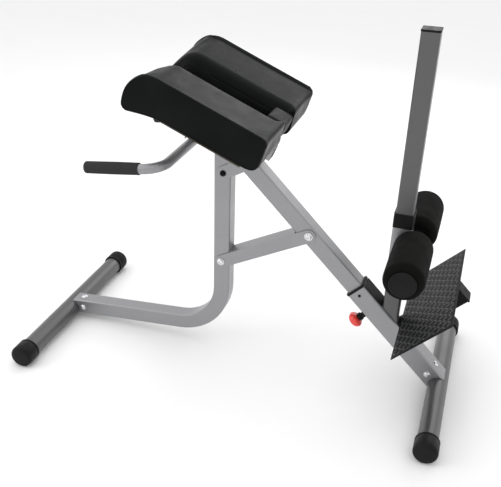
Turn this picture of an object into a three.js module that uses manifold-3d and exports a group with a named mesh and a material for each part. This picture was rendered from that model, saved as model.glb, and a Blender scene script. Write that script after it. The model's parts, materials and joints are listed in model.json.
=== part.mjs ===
// 45 degree roman chair: split thigh pads on a J frame, telescoping boom, ankle roller carriage.
// Millimetres, +Z up, +X to the rear of the machine, the mid-plane is Y = 0, the floor is Z = 0.
import * as THREE from "three";
import { mergeVertices } from "three/addons/utils/BufferGeometryUtils.js";
import { RoundedBoxGeometry } from "three/addons/geometries/RoundedBoxGeometry.js";
import Module from "manifold-3d";

const wasm = await Module();
wasm.setup();

const GAP = 0.35;
const FRONT_X = -618.8;
const REAR_X = FRONT_X + 1230;
const BASE_Z = 34.5;
const STAB_R = 29;
const STAB_WALL = 2.5;
const STAB_HALF = 331;
const CAP_R = 34.5;
const CAP_INNER_Y = 282;
const CAP_OUTER_Y = 338;

const TUBE = 50;
const TUBE_WALL = 2.5;
const TUBE_CORNER = 5;
const RUN_Z = 40;
const RUN_TILT = THREE.MathUtils.degToRad(4.1);
const MAST_X = FRONT_X + 541;
const MAST_TOP = 730;
const BEND_R = 155;

const BOOM_ANGLE = THREE.MathUtils.degToRad(44.75);
const BOOM_INNER_S0 = 150;
const BOOM_INNER_LENGTH = 950;
const OUTER = 60;
const OUTER_WALL = 2.5;
const MOUTH_S = 384;
const PIN_S = 302;
const PIN_PITCH = 25;

const POST_X = FRONT_X + 1062;
const POST_W = 47.6;
const POST_TOP = 1046;
const SLEEVE_W = 54;
const SLEEVE_Z0 = 382;
const SLEEVE_Z1 = 527;
const COLLAR_W = 56;
const COLLAR_TOP = 567;
const AXLE_R = 11;
const AXLE_X = POST_X + SLEEVE_W / 2 + AXLE_R + 0.4;
const AXLE_Z = 484;
const AXLE_HALF = 251;
const ROLLER_R = 54;
const ROLLER_Y0 = 33;
const ROLLER_Y1 = 250;
const CARRIAGE_PIN_Z = 405;
const POST_PITCH = 40;

const PLATE_S = 232;
const PLATE_N0 = 46;
const PLATE_N1 = 246;
const PLATE_HALF = 222;
const PLATE_T = 3;
const SUPPORT_DEPTH = 47;
const SUPPORT_WIDTH = 50;
const GUARD_S = 343;
const GUARD_LENGTH = 78;

const PIVOT = [FRONT_X + 545, 609];
const BRACE_A = [MAST_X, 321];
const BRACE_S = 598;
const BRACE_T = 3;
const BRACE_R = 20;
const BOLT_R = 5;
const BOLT_BORE = 5.4;
const EAR_R = 19.5;
const EAR_T = 4;
const EAR_REACH = 78;
const EAR_ANGLE = THREE.MathUtils.degToRad(30);

const PAD_SLOPE = THREE.MathUtils.degToRad(22.8);
const PAD_ORIGIN = [MAST_X, 773.5];
const PAD_Y0 = 48;
const PAD_Y1 = 235;
const PAD_TOP = 96;
const PAD_NOSE = -215.5;
const PAD_TAIL = 176;
const BAR_FRONT = -55;
const BAR_REAR = 75;
const BAR_HALF = 185;
const SPINE_BOTTOM = 52;
const SPINE_TOP = 13;
const SPINE_LENGTH = 285;

const HANDLE_X = FRONT_X + 441;
const HANDLE_TIP_X = FRONT_X + 219;
const HANDLE_Z = 679;
const HANDLE_Y = 225;
const HANDLE_R = 14;
const HANDLE_BEND = 53;
const HANDLE_TILT = 0.12;
const GRIP_LENGTH = 162;
const GRIP_R = 16.5;

const SILVER = { color: 0xb4b4b8, roughness: 0.42, metalness: 0.55 };
const GREY = { color: 0x6e6e70, roughness: 0.4, metalness: 0.55 };
const BLACK_STEEL = { color: 0x1b1b1d, roughness: 0.5, metalness: 0.35 };
const BLACK_PLASTIC = { color: 0x161617, roughness: 0.55, metalness: 0 };
const VINYL = { color: 0x1a1b1b, roughness: 0.42, metalness: 0 };
const FOAM = { color: 0x141415, roughness: 0.9, metalness: 0 };
const ZINC = { color: 0xc9cacc, roughness: 0.28, metalness: 0.95 };
const RED = { color: 0xb81a16, roughness: 0.35, metalness: 0 };
const PLY = { color: 0x2a2522, roughness: 0.85, metalness: 0 };

const chair = new THREE.Group();
chair.name = "roman_chair";

// --- helpers ---------------------------------------------------------------

function toSolid(geometry) {
  const bare = geometry.clone();
  bare.deleteAttribute("normal");
  bare.deleteAttribute("uv");
  const welded = mergeVertices(bare, 1e-4);
  return new wasm.Manifold(new wasm.Mesh({
    numProp: 3,
    vertProperties: new Float32Array(welded.attributes.position.array),
    triVerts: new Uint32Array(welded.index.array),
  }));
}

function toGeometry(solid) {
  const mesh = solid.getMesh();
  const geometry = new THREE.BufferGeometry();
  geometry.setAttribute("position", new THREE.BufferAttribute(Float32Array.from(mesh.vertProperties), 3));
  geometry.setIndex(new THREE.BufferAttribute(Uint32Array.from(mesh.triVerts), 1));
  geometry.computeVertexNormals();
  return geometry;
}

function subtract(base, ...tools) {
  let solid = toSolid(base);
  for (const tool of tools) {
    solid = solid.subtract(toSolid(tool));
  }
  return toGeometry(solid);
}

function union(base, ...others) {
  let solid = toSolid(base);
  for (const other of others) {
    solid = solid.add(toSolid(other));
  }
  return toGeometry(solid);
}

function add(name, geometry, look) {
  const mesh = new THREE.Mesh(geometry, new THREE.MeshStandardMaterial(look));
  mesh.name = name;
  chair.add(mesh);
  return mesh;
}

function place(geometry, xAxis, yAxis, zAxis, origin) {
  const matrix = new THREE.Matrix4().makeBasis(xAxis, yAxis, zAxis);
  matrix.setPosition(origin);
  return geometry.clone().applyMatrix4(matrix);
}

const vec = (x, y, z) => new THREE.Vector3(x, y, z);
const X = vec(1, 0, 0);
const Y = vec(0, 1, 0);
const Z = vec(0, 0, 1);
const BOOM_DIR = vec(-Math.cos(BOOM_ANGLE), 0, Math.sin(BOOM_ANGLE));
const BOOM_UP = vec(Math.sin(BOOM_ANGLE), 0, Math.cos(BOOM_ANGLE));

// A point of the boom's own frame: s along it from the rear stabilizer, n square to it.
function boomPoint(s, n, y = 0) {
  return vec(REAR_X, y, BASE_Z).addScaledVector(BOOM_DIR, s).addScaledVector(BOOM_UP, n);
}

function onBoom(geometry, s, n = 0, y = 0) {
  return place(geometry, BOOM_UP, Y, BOOM_DIR, boomPoint(s, n, y));
}

// A point of the pads' own frame: u down the slope to the rear, v square to it.
const PAD_U = vec(Math.cos(PAD_SLOPE), 0, -Math.sin(PAD_SLOPE));
const PAD_V = vec(Math.sin(PAD_SLOPE), 0, Math.cos(PAD_SLOPE));

function padPoint(u, v, y = 0) {
  return vec(PAD_ORIGIN[0], y, PAD_ORIGIN[1]).addScaledVector(PAD_U, u).addScaledVector(PAD_V, v);
}

function roundedRect(width, height, radius) {
  const x = width / 2;
  const y = height / 2;
  const shape = new THREE.Shape();
  shape.moveTo(-x + radius, -y);
  shape.lineTo(x - radius, -y);
  shape.absarc(x - radius, -y + radius, radius, -Math.PI / 2, 0, false);
  shape.lineTo(x, y - radius);
  shape.absarc(x - radius, y - radius, radius, 0, Math.PI / 2, false);
  shape.lineTo(-x + radius, y);
  shape.absarc(-x + radius, y - radius, radius, Math.PI / 2, Math.PI, false);
  shape.lineTo(-x, -y + radius);
  shape.absarc(-x + radius, -y + radius, radius, Math.PI, Math.PI * 1.5, false);
  return shape;
}

function tubeShape(width, height, radius, wall) {
  const shape = roundedRect(width, height, radius);
  const inner = roundedRect(width - 2 * wall, height - 2 * wall, Math.max(radius - wall, 1));
  shape.holes.push(inner);
  return shape;
}

function extrude(shape, depth, curveSegments = 4) {
  return new THREE.ExtrudeGeometry(shape, { depth, bevelEnabled: false, curveSegments });
}

// A bar or disc turned about its own axis: points are [radius, height] pairs.
function lathe(points, segments = 32) {
  const profile = points.map(([r, h]) => new THREE.Vector2(r, h));
  return new THREE.LatheGeometry(profile, segments).rotateX(Math.PI / 2);
}

function rod(radius, length, segments = 32) {
  return lathe([[0, 0], [radius, 0], [radius, length], [0, length]], segments);
}

function pipe(outer, inner, length, segments = 40) {
  return lathe([[inner, 0], [outer, 0], [outer, length], [inner, length], [inner, 0]], segments);
}

// Turns a geometry made along +Z so that it runs along +Y, then moves it.
function alongY(geometry, x, y, z) {
  return place(geometry, Z, X, Y, vec(x, y, z));
}

function cylinderY(radius, x, z, halfLength, segments = 32) {
  return alongY(rod(radius, halfLength * 2, segments), x, -halfLength, z);
}

// A knot route keeps its own points and tangents, so arcs get only the steps they need.
class Route extends THREE.Curve {
  constructor(knots) {
    super();
    this.knots = knots;
  }

  getPoint(t, target = new THREE.Vector3()) {
    return target.copy(this.knots[Math.round(t * (this.knots.length - 1))].point);
  }

  getPointAt(u, target = new THREE.Vector3()) {
    return this.getPoint(u, target);
  }

  getTangentAt(u, target = new THREE.Vector3()) {
    return target.copy(this.knots[Math.round(u * (this.knots.length - 1))].tangent);
  }
}

// Straight legs joined by arcs: corners is a list of points, radius the bend, steps per arc.
function bentRoute(corners, radius, steps) {
  const knots = [];
  const first = corners[1].clone().sub(corners[0]).normalize();
  knots.push({ point: corners[0].clone(), tangent: first });
  for (let i = 1; i < corners.length - 1; i += 1) {
    const into = corners[i].clone().sub(corners[i - 1]).normalize();
    const out = corners[i + 1].clone().sub(corners[i]).normalize();
    const angle = into.angleTo(out);
    const reach = radius * Math.tan(angle / 2);
    const start = corners[i].clone().addScaledVector(into, -reach);
    const side = out.clone().addScaledVector(into, -out.dot(into)).normalize();
    for (let k = 0; k <= steps; k += 1) {
      const a = (angle * k) / steps;
      const point = start.clone().addScaledVector(into, radius * Math.sin(a));
      point.addScaledVector(side, radius * (1 - Math.cos(a)));
      const tangent = into.clone().multiplyScalar(Math.cos(a)).addScaledVector(side, Math.sin(a));
      knots.push({ point, tangent });
    }
  }
  const end = corners[corners.length - 1];
  const last = end.clone().sub(corners[corners.length - 2]).normalize();
  knots.push({ point: end.clone(), tangent: last });
  return new Route(knots);
}

function sweep(shape, route, curveSegments) {
  const steps = route.knots.length - 1;
  return new THREE.ExtrudeGeometry(shape, { steps, extrudePath: route, bevelEnabled: false, curveSegments });
}

function ringShape(outer, inner) {
  const shape = new THREE.Shape();
  shape.absarc(0, 0, outer, 0, Math.PI * 2, false);
  const hole = new THREE.Path();
  hole.absarc(0, 0, inner, 0, Math.PI * 2, true);
  shape.holes.push(hole);
  return shape;
}

// A flat link with round ends between two [x, z] points, cut square to Y from y0 to y1.
function capsulePlate(a, b, radius, y0, y1) {
  const angle = Math.atan2(b[1] - a[1], b[0] - a[0]);
  const length = Math.hypot(b[0] - a[0], b[1] - a[1]);
  const shape = new THREE.Shape();
  shape.absarc(0, 0, radius, Math.PI / 2, Math.PI * 1.5, false);
  shape.absarc(length, 0, radius, -Math.PI / 2, Math.PI / 2, false);
  const u = vec(Math.cos(angle), 0, Math.sin(angle));
  const v = vec(-Math.sin(angle), 0, Math.cos(angle));
  return place(extrude(shape, y1 - y0, 9), u, v, vec(0, -1, 0), vec(a[0], y1, a[1]));
}

// A box in the frame of a link: t along it, w square to it, both from point a.
function linkBox(a, angle, t0, t1, w0, w1, y0, y1) {
  const u = vec(Math.cos(angle), 0, Math.sin(angle));
  const v = vec(-Math.sin(angle), 0, Math.cos(angle));
  const box = new THREE.BoxGeometry(t1 - t0, y1 - y0, w1 - w0);
  box.translate((t0 + t1) / 2, (y0 + y1) / 2, (w0 + w1) / 2);
  return place(box, u, Y, v, vec(a[0], 0, a[1]));
}

function boltBore([x, z]) {
  return cylinderY(BOLT_BORE, x, z, 60, 12);
}

// --- stabilizers -----------------------------------------------------------

function stabilizer(name, x) {
  const tube = alongY(pipe(STAB_R, STAB_R - STAB_WALL, STAB_HALF * 2, 36), x, -STAB_HALF, BASE_Z);
  add(name, tube, GREY);
}

// A moulded end cap: a cup over the tube end with a softened outer rim.
function endCap(name, x, side) {
  const bore = STAB_R + GAP;
  const depth = CAP_OUTER_Y - CAP_INNER_Y;
  const floor = STAB_HALF + GAP - CAP_INNER_Y;
  const cup = lathe([
    [0, floor], [bore, floor], [bore, 0], [CAP_R - 1.5, 0], [CAP_R, 1.5], [CAP_R, depth - 9],
    [CAP_R - 1, depth - 5.5], [CAP_R - 3.6, depth - 2.6], [CAP_R - 8, depth - 1], [0, depth],
  ], 28);
  const placed = side > 0
    ? alongY(cup, x, CAP_INNER_Y, BASE_Z)
    : place(cup, X, Z, vec(0, -1, 0), vec(x, -CAP_INNER_Y, BASE_Z));
  add(name, placed, BLACK_PLASTIC);
}

// --- front frame -----------------------------------------------------------

function jFrame() {
  const tilt = Math.tan(RUN_TILT);
  const start = vec(FRONT_X + 12, 0, RUN_Z + 12 * tilt);
  const corner = vec(MAST_X, 0, RUN_Z + (MAST_X - FRONT_X) * tilt);
  const top = vec(MAST_X, 0, MAST_TOP);
  const route = bentRoute([start, corner, top], BEND_R, 14);
  const body = sweep(tubeShape(TUBE, TUBE, TUBE_CORNER, TUBE_WALL), route, 3);
  const saddle = cylinderY(STAB_R + 0.8, FRONT_X, BASE_Z, 60, 36);
  const above = new THREE.BoxGeometry(200, 100, 400).translate(100 - TUBE / 2 - GAP, 0, 0);
  const mitre = onBoom(above, 960);
  const pivot = boltBore(PIVOT);
  const lower = boltBore(BRACE_A);
  add("j_frame", subtract(body, saddle, mitre, pivot, lower), SILVER);
}

function topBracket() {
  const end = [PIVOT[0] + EAR_REACH * Math.cos(EAR_ANGLE), PIVOT[1] + EAR_REACH * Math.sin(EAR_ANGLE)];
  const y0 = TUBE / 2 + GAP;
  const near = capsulePlate(PIVOT, end, EAR_R, -y0 - EAR_T, -y0);
  const far = capsulePlate(PIVOT, end, EAR_R, y0, y0 + EAR_T);
  const web = linkBox(PIVOT, EAR_ANGLE, 17, 52, -EAR_R, -EAR_R + 4, -y0 - 1, y0 + 1);
  const bore = boltBore(PIVOT);
  add("top_bracket", subtract(union(near, far, web), bore), SILVER);
}

function brace() {
  const b = boomPoint(BRACE_S, 0);
  const end = [b.x, b.z];
  const angle = Math.atan2(end[1] - BRACE_A[1], end[0] - BRACE_A[0]);
  const y0 = TUBE / 2 + GAP;
  const near = capsulePlate(BRACE_A, end, BRACE_R, -y0 - BRACE_T, -y0);
  const far = capsulePlate(BRACE_A, end, BRACE_R, y0, y0 + BRACE_T);
  const web = linkBox(BRACE_A, angle, 41, 258, BRACE_R - BRACE_T, BRACE_R, -y0 - 1, y0 + 1);
  const left = boltBore(BRACE_A);
  const right = boltBore(end);
  add("brace_channel", subtract(union(near, far, web), left, right), SILVER);
}

// A through bolt along Y: head and washer on the near side, washer and nut on the far side.
function crossBolt(x, z, outside, headR, washerR) {
  const y = outside + GAP;
  const profile = [
    [0, -y - 8.5], [headR - 1.6, -y - 8.5], [headR, -y - 6.6], [headR, -y - 2.2], [washerR, -y - 2.2],
    [washerR, -y], [BOLT_R, -y], [BOLT_R, y], [washerR, y], [washerR, y + 2.2], [headR, y + 2.2],
    [headR, y + 9], [BOLT_R, y + 10], [BOLT_R, y + 13], [0, y + 13],
  ];
  return alongY(lathe(profile, 18), x, 0, z);
}

function frameBolts() {
  const ear = TUBE / 2 + GAP + EAR_T;
  add("pivot_bolt", crossBolt(PIVOT[0], PIVOT[1], ear, 7.5, 9), BLACK_STEEL);
  const b = boomPoint(BRACE_S, 0);
  const side = TUBE / 2 + GAP + BRACE_T;
  add("brace_bolt_front", crossBolt(BRACE_A[0], BRACE_A[1], side, 9.5, 11.5), ZINC);
  add("brace_bolt_rear", crossBolt(b.x, b.z, side, 10, 12.5), ZINC);
}

// A button head screw with its washer, standing on a face: axis is the outward direction.
function buttonHead(point, axis) {
  const head = lathe([
    [0, 0], [10.5, 0], [10.5, 1.6], [8.6, 1.6], [8.4, 3.4], [6.8, 5.2], [4.2, 6], [0, 6.2],
  ], 16);
  const helper = Math.abs(axis.y) > 0.5 ? X : Y;
  const side = helper.clone().cross(axis).normalize();
  return place(head, side, axis.clone().cross(side), axis, point);
}

function saddleScrews() {
  const lift = 0.3;
  const up = vec(-Math.sin(RUN_TILT), 0, Math.cos(RUN_TILT));
  const z = RUN_Z + 45 * Math.tan(RUN_TILT);
  const half = TUBE / 2 + lift;
  const crown = vec(FRONT_X + 42, 0, z).addScaledVector(up, half);
  add("front_screw_near", buttonHead(vec(FRONT_X + 46, -half, z), vec(0, -1, 0)), ZINC);
  add("front_screw_far", buttonHead(vec(FRONT_X + 46, half, z), vec(0, 1, 0)), ZINC);
  add("front_screw_top", buttonHead(crown, up), ZINC);
  const wide = OUTER / 2 + lift;
  add("rear_screw_near", buttonHead(boomPoint(50, 0, -wide), vec(0, -1, 0)), ZINC);
  add("rear_screw_far", buttonHead(boomPoint(50, 0, wide), vec(0, 1, 0)), ZINC);
  add("rear_screw_top", buttonHead(boomPoint(52, wide, 0), BOOM_UP), ZINC);
}

function boomInner() {
  const section = tubeShape(TUBE, TUBE, TUBE_CORNER, TUBE_WALL);
  const tube = onBoom(extrude(section, BOOM_INNER_LENGTH, 3), BOOM_INNER_S0);
  const above = new THREE.BoxGeometry(700, 100, 300).translate(0, 0, 150 - SPINE_BOTTOM - GAP);
  const cut = place(above, PAD_U, Y, PAD_V, padPoint(0, 0));
  const b = boomPoint(BRACE_S, 0);
  const tools = [cut, boltBore([b.x, b.z])];
  for (let k = -3; k <= 3; k += 1) {
    tools.push(onBoom(drill(6.2, -TUBE / 2 - 4, -TUBE / 2 + 6), PIN_S + k * PIN_PITCH));
  }
  add("boom_inner", subtract(tube, ...tools), SILVER);
}

// A hole cutter square to the boom, between two heights n0 and n1.
function drill(radius, n0, n1) {
  return place(rod(radius, n1 - n0, 10), Y, Z, X, vec(n0, 0, 0));
}

// --- pads ------------------------------------------------------------------

// The cushion's side outline: a flat deck with a square tail, and a nose that rolls down in front.
function padProfile() {
  const shape = new THREE.Shape();
  shape.moveTo(100, GAP);
  shape.lineTo(-85, GAP);
  shape.quadraticCurveTo(-125, -2, -154, -11);
  shape.lineTo(-198, -23);
  shape.quadraticCurveTo(PAD_NOSE + 1, -24, PAD_NOSE, 4);
  shape.bezierCurveTo(PAD_NOSE + 2, 50, -185, PAD_TOP, -142, PAD_TOP);
  shape.lineTo(151, PAD_TOP);
  shape.quadraticCurveTo(168, PAD_TOP + 1.5, 170, PAD_TOP - 10);
  shape.lineTo(PAD_TAIL, 25);
  shape.quadraticCurveTo(PAD_TAIL, 4, 154, 3.5);
  return shape;
}

function pad(name, side) {
  const body = extrude(padProfile(), PAD_Y1 - PAD_Y0, 5);
  const start = side > 0 ? PAD_Y1 : -PAD_Y0;
  add(name, place(body, PAD_U, PAD_V, vec(0, -1, 0), padPoint(0, 0, start)), VINYL);
}

function padBox(u0, u1, v0, v1, y0, y1) {
  const box = new THREE.BoxGeometry(u1 - u0, y1 - y0, v1 - v0);
  return place(box, PAD_U, Y, PAD_V, padPoint((u0 + u1) / 2, (v0 + v1) / 2, (y0 + y1) / 2));
}

function padBoard(name, side) {
  const y0 = side > 0 ? PAD_Y0 + 16 : -PAD_Y1 + 16;
  const y1 = side > 0 ? PAD_Y1 - 16 : -PAD_Y0 - 16;
  const board = padBox(-82, 128, -9, -GAP, y0, y1);
  const tab = padBox(-118, -80, -9, -4.4, y0, y1);
  add(name, union(board, tab), PLY);
}

function padSpine() {
  const shape = tubeShape(SPINE_BOTTOM - SPINE_TOP, 40, 4, 2.5);
  const start = padPoint(-118, -(SPINE_BOTTOM + SPINE_TOP) / 2);
  const tube = place(extrude(shape, SPINE_LENGTH, 3), PAD_V, vec(0, -1, 0), PAD_U, start);
  add("pad_spine", tube, SILVER);
}

function padCrossbar(name, u) {
  const flat = padBox(u - 20, u + 20, -12.6, -9.4, -BAR_HALF, BAR_HALF);
  const lip = padBox(u + 16.8, u + 20, -32, -12.6, -BAR_HALF, BAR_HALF);
  const notch = padBox(u, u + 40, -60, -12.7, -21, 21);
  add(name, subtract(union(flat, lip), notch), SILVER);
}

function padBolts() {
  const down = PAD_V.clone().negate();
  for (const [end, u] of [["front", BAR_FRONT], ["rear", BAR_REAR]]) {
    for (const [side, y] of [["near", -140], ["far", 140]]) {
      add(`pad_bolt_${end}_${side}`, buttonHead(padPoint(u - 4, -12.9, y), down), ZINC);
    }
  }
}

function spineEndCover() {
  const cover = new RoundedBoxGeometry(58, 84, 50, 2, 9);
  const block = place(cover, PAD_U, Y, PAD_V, padPoint(139, 51));
  const riser = padBox(112, 124, -SPINE_TOP + GAP, 40, -30, 30);
  add("spine_end_cover", union(block, riser), BLACK_PLASTIC);
}

// --- handle ----------------------------------------------------------------

function handleRoute(trim) {
  const reach = HANDLE_X - HANDLE_TIP_X - trim;
  const dx = reach * Math.cos(HANDLE_TILT);
  const dz = reach * Math.sin(HANDLE_TILT);
  return bentRoute([
    vec(HANDLE_X - dx, -HANDLE_Y, HANDLE_Z - dz), vec(HANDLE_X, -HANDLE_Y, HANDLE_Z),
    vec(HANDLE_X, HANDLE_Y, HANDLE_Z), vec(HANDLE_X - dx, HANDLE_Y, HANDLE_Z - dz),
  ], HANDLE_BEND, 8);
}

function handleBar() {
  add("handle_bar", sweep(ringShape(HANDLE_R, HANDLE_R - 2), handleRoute(5), 7), SILVER);
}

// A short tube that hangs the handle bar's middle under the pads' spine, square to it.
function handleStrut() {
  const bar = vec(HANDLE_X - PAD_ORIGIN[0], 0, HANDLE_Z - PAD_ORIGIN[1]);
  const u = bar.dot(PAD_U);
  const v = bar.dot(PAD_V);
  const length = -SPINE_BOTTOM - GAP - v;
  const strut = place(extrude(tubeShape(22, 40, 4, 2.5), length, 3), PAD_U, Y, PAD_V, padPoint(u, v));
  const saddle = cylinderY(HANDLE_R + GAP, HANDLE_X, HANDLE_Z, 40, 48);
  add("handle_strut", subtract(strut, saddle), SILVER);
}

function handleGrip(name, side) {
  const bore = HANDLE_R + GAP;
  const grip = lathe([
    [0, 0], [GRIP_R - 4, 0.6], [GRIP_R - 1.4, 2], [GRIP_R, 5], [GRIP_R, GRIP_LENGTH - 2],
    [GRIP_R - 2, GRIP_LENGTH], [bore, GRIP_LENGTH], [bore, 4.6], [0, 4.6],
  ], 24);
  const axis = vec(Math.cos(HANDLE_TILT), 0, Math.sin(HANDLE_TILT));
  const reach = HANDLE_X - HANDLE_TIP_X;
  const tip = vec(HANDLE_X, side * HANDLE_Y, HANDLE_Z).addScaledVector(axis, -reach);
  add(name, place(grip, axis.clone().cross(Y).negate(), Y, axis, tip), FOAM);
}

// --- rear unit -------------------------------------------------------------

function boomOuter() {
  const tube = onBoom(extrude(tubeShape(OUTER, OUTER, 6, OUTER_WALL), MOUTH_S - 8, 3), 8);
  const saddle = cylinderY(STAB_R + 0.8, REAR_X, BASE_Z, 60, 36);
  const pin = onBoom(drill(7, -OUTER / 2 - 4, -OUTER / 2 + 6), PIN_S);
  add("boom_outer", subtract(tube, saddle, pin), SILVER);
}

// The black liner at the mouth of the outer tube that the inner tube runs in.
function boomBushing() {
  const flange = onBoom(extrude(tubeShape(OUTER + 3, OUTER + 3, 7, 6.1), 6, 3), MOUTH_S + GAP);
  const bore = OUTER - 2 * OUTER_WALL - 2 * GAP;
  const liner = onBoom(extrude(tubeShape(bore, bore, 4, (bore - TUBE) / 2 - GAP), 60, 3), MOUTH_S - 58);
  add("boom_bushing", union(flange, liner), BLACK_PLASTIC);
}

function boomGuard() {
  const strip = new RoundedBoxGeometry(2.2, OUTER - 5, GUARD_LENGTH, 1, 0.9);
  add("boom_guard", onBoom(strip, GUARD_S, OUTER / 2 + GAP + 1.1), BLACK_PLASTIC);
  const rivet = lathe([[0, 0], [4.4, 0], [4.2, 1.2], [2.6, 2.4], [0, 2.6]], 12);
  const spot = boomPoint(368, 0, -OUTER / 2 - GAP);
  add("boom_rivet", place(rivet, X, Z, vec(0, -1, 0), spot), BLACK_STEEL);
}

// The pull pin's fixed barrel: a threaded sleeve square to a tube face, along local +Z.
function barrel(length) {
  return lathe([
    [6.4, 0], [11, 0], [11, 7], [9, 8.5], [9, length], [6.4, length], [6.4, 0],
  ], 20);
}

// The pin with its knob: the pin's tip is at -reach, the knob starts at lift, along local +Z.
function pinAndKnob(reach, lift, radius) {
  return lathe([
    [0, -reach], [4.4, -reach], [5.4, -reach + 2], [5.4, lift], [10, lift], [12, lift + 3],
    [13, lift + 8], [radius - 3, lift + 12], [radius, lift + 17], [radius, lift + 23],
    [radius - 3, lift + 30], [radius - 9, lift + 34.5], [radius - 16, lift + 36], [0, lift + 36.6],
  ], 24);
}

function boomPin() {
  const down = BOOM_UP.clone().negate();
  const base = boomPoint(PIN_S, -OUTER / 2 - GAP);
  add("boom_pin_barrel", place(barrel(24), BOOM_DIR, down.clone().cross(BOOM_DIR), down, base), BLACK_STEEL);
  const knob = pinAndKnob(4.6, 26, 23);
  add("boom_pin_knob", place(knob, BOOM_DIR, down.clone().cross(BOOM_DIR), down, base), RED);
}

function post() {
  const tube = extrude(tubeShape(POST_W, POST_W, 5, 2), POST_TOP - 180, 3).translate(POST_X, 0, 180);
  const below = new THREE.BoxGeometry(400, 100, 400).translate(-200 + OUTER / 2 + GAP, 0, 0);
  const tools = [onBoom(below, 260)];
  for (let k = -2; k <= 11; k += 1) {
    tools.push(alongY(rod(5.6, 14, 10), POST_X, POST_W / 2 - 7, CARRIAGE_PIN_Z + k * POST_PITCH));
  }
  add("post", subtract(tube, ...tools), GREY);
}

function postPlug() {
  const lip = new RoundedBoxGeometry(POST_W + 1.4, POST_W + 1.4, 5, 2, 1.5);
  lip.translate(POST_X, 0, POST_TOP + GAP + 2.5);
  const inside = POST_W - 4 - 2 * GAP;
  const stem = extrude(roundedRect(inside, inside, 3), 22, 3).translate(POST_X, 0, POST_TOP - 19);
  add("post_plug", union(lip, stem), BLACK_PLASTIC);
}

function footPlate() {
  const rise = PLATE_N1 - PLATE_N0;
  const plate = new RoundedBoxGeometry(rise, PLATE_HALF * 2, PLATE_T, 1, 1);
  add("foot_plate", onBoom(plate, PLATE_S + PLATE_T / 2, (PLATE_N0 + PLATE_N1) / 2), BLACK_STEEL);
}

function plateSupport() {
  const depth = SUPPORT_DEPTH;
  const s = PLATE_S - GAP - depth / 2;
  const shape = tubeShape(depth, SUPPORT_WIDTH, 5, TUBE_WALL);
  const start = boomPoint(s, OUTER / 2 + GAP);
  const length = PLATE_N1 - OUTER / 2 - 6;
  const tube = place(extrude(shape, length, 3), BOOM_DIR, vec(0, -1, 0), BOOM_UP, start);
  add("plate_support", tube, BLACK_STEEL);
  const lip = new RoundedBoxGeometry(depth + 1, SUPPORT_WIDTH + 1, 5, 2, 1.5);
  const inside = 2 * (TUBE_WALL + GAP);
  const stem = extrude(roundedRect(depth - inside, SUPPORT_WIDTH - inside, 2.5), 18, 3);
  stem.translate(0.8, 0, -17);
  const top = boomPoint(s - 0.8, PLATE_N1 - 6 + 2 * GAP + 2.5);
  add("support_plug", place(union(lip, stem), BOOM_DIR, vec(0, -1, 0), BOOM_UP, top), BLACK_PLASTIC);
}

// --- roller carriage -------------------------------------------------------

function carriageSleeve() {
  const height = SLEEVE_Z1 - SLEEVE_Z0;
  const tube = extrude(tubeShape(SLEEVE_W, SLEEVE_W, 6, 2.4), height, 3).translate(POST_X, 0, SLEEVE_Z0);
  const pin = alongY(rod(6.4, 14, 24), POST_X, SLEEVE_W / 2 - 7, CARRIAGE_PIN_Z);
  add("carriage_sleeve", subtract(tube, pin), SILVER);
  const collarHeight = COLLAR_TOP - SLEEVE_Z1 - GAP;
  const wall = (COLLAR_W - POST_W) / 2 - 0.5;
  const collar = extrude(tubeShape(COLLAR_W, COLLAR_W, 7, wall), collarHeight, 3);
  add("carriage_collar", collar.translate(POST_X, 0, SLEEVE_Z1 + GAP), BLACK_PLASTIC);
}

function rollerAxle() {
  const tube = alongY(pipe(AXLE_R, AXLE_R - 2, AXLE_HALF * 2, 24), AXLE_X, -AXLE_HALF, AXLE_Z);
  add("roller_axle", tube, SILVER);
}

// A U strap that holds the axle on the sleeve's rear face.
function axleStrap() {
  const inner = AXLE_R + GAP;
  const outer = inner + 3;
  const face = POST_X + SLEEVE_W / 2 + GAP - AXLE_X;
  const shape = new THREE.Shape();
  shape.moveTo(face, -26);
  shape.lineTo(face + 3, -26);
  shape.lineTo(face + 3, -outer);
  shape.lineTo(0, -outer);
  shape.absarc(0, 0, outer, -Math.PI / 2, Math.PI / 2, false);
  shape.lineTo(face + 3, outer);
  shape.lineTo(face + 3, 26);
  shape.lineTo(face, 26);
  shape.lineTo(face, inner);
  shape.lineTo(0, inner);
  shape.absarc(0, 0, inner, Math.PI / 2, -Math.PI / 2, true);
  shape.lineTo(face, -inner);
  const strap = extrude(shape, 40, 10);
  add("axle_strap", place(strap, X, Z, vec(0, -1, 0), vec(AXLE_X, 20, AXLE_Z)), BLACK_STEEL);
}

function axleEndCap(name, side) {
  const cap = lathe([
    [0, -14], [8.4, -14], [8.4, GAP], [34, GAP], [35.5, 1.8], [35.5, 3.6], [33, 5.6], [22, 7], [0, 7.6],
  ], 28);
  const placed = side > 0
    ? alongY(cap, AXLE_X, AXLE_HALF, AXLE_Z)
    : place(cap, X, Z, vec(0, -1, 0), vec(AXLE_X, -AXLE_HALF, AXLE_Z));
  add(name, placed, BLACK_PLASTIC);
}

// Thrust washers keep each foam roller clear of the post.
function thrustWashers() {
  const inner = AXLE_R + GAP;
  const near = alongY(pipe(20, inner, 3, 28), AXLE_X, -ROLLER_Y0 + 1, AXLE_Z);
  const far = alongY(pipe(20, inner, 3, 28), AXLE_X, ROLLER_Y0 - 4, AXLE_Z);
  add("thrust_washer_near", near, BLACK_PLASTIC);
  add("thrust_washer_far", far, BLACK_PLASTIC);
}

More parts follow.
